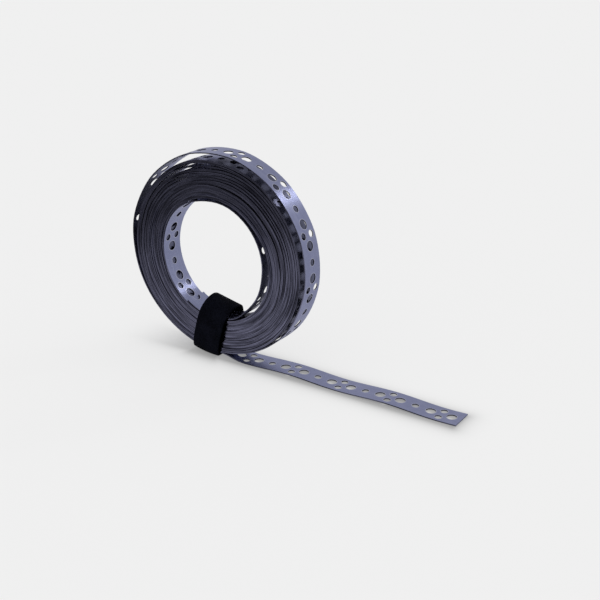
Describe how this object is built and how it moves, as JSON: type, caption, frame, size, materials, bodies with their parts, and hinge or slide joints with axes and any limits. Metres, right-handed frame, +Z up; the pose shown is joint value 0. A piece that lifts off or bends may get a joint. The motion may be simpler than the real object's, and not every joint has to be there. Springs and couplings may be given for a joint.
{
  "type": "perforated steel strap coil",
  "caption": "Coil of galvanised perforated steel fixing strap standing on its rim, its wavy free end laid out flat and its turns held by a black hook-and-loop tie.",
  "frame": {"origin": "on the floor, under the middle of the bounding box of the coil and its free end", "axes": "+X along the free end, away from the coil; +Y along the coil's axis, into the picture; +Z up from the floor"},
  "size_m": [0.2366, 0.0216, 0.134],
  "materials": {
    "galvanised_steel": "galvanised, satin, with a violet-grey cast",
    "black_hook_and_loop": "matt black woven hook-and-loop tape"
  },
  "bodies": {
    "root": {"strap": "galvanised_steel", "hook_and_loop_tie": "black_hook_and_loop"}
  },
  "joints": []
}
